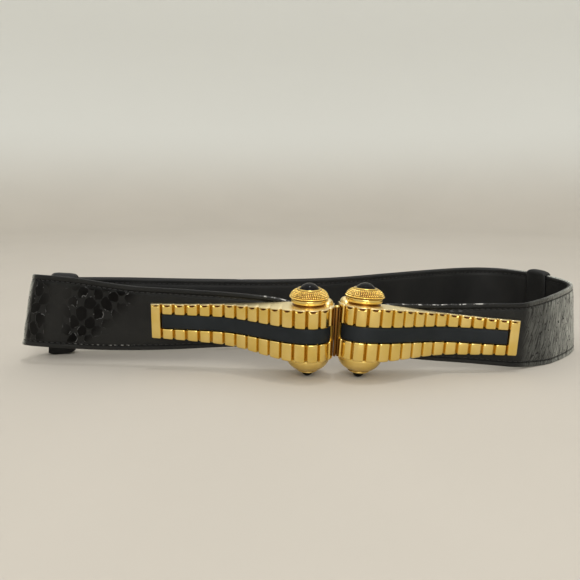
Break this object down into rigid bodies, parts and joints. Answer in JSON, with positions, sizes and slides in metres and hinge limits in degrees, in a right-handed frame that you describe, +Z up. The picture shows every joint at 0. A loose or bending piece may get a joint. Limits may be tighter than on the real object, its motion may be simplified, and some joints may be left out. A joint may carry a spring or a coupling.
{
  "type": "snakeskin belt",
  "caption": "Black snakeskin belt standing on its edge, fastened in a loop by a ribbed gold clasp with dark inlays and cabochons, with two leather keepers.",
  "frame": {"origin": "the point under the middle of the belt's box, on the surface that the belt stands on", "axes": "+X along the belt's front from the sharply folded end to the rounded end, +Y from the clasp to the back run, +Z up along the strap's width"},
  "size_m": [0.3278, 0.117, 0.0502],
  "materials": {
    "skin": "black snakeskin under a high gloss",
    "lining": "smooth black leather with a slight sheen",
    "gold": "polished gold plate, satin on the bowls",
    "slate": "satin dark slate",
    "onyx": "polished black"
  },
  "bodies": {
    "root": {"strap": "skin", "strap_lining": "lining", "keeper_left": "skin", "keeper_right": "skin", "clasp_left": "gold", "clasp_right": "gold", "clasp_hook": "gold", "inlay_left": "slate", "inlay_right": "slate", "stone_top_left": "onyx", "stone_top_right": "onyx", "stone_bottom_left": "onyx", "stone_bottom_right": "onyx"}
  },
  "joints": []
}
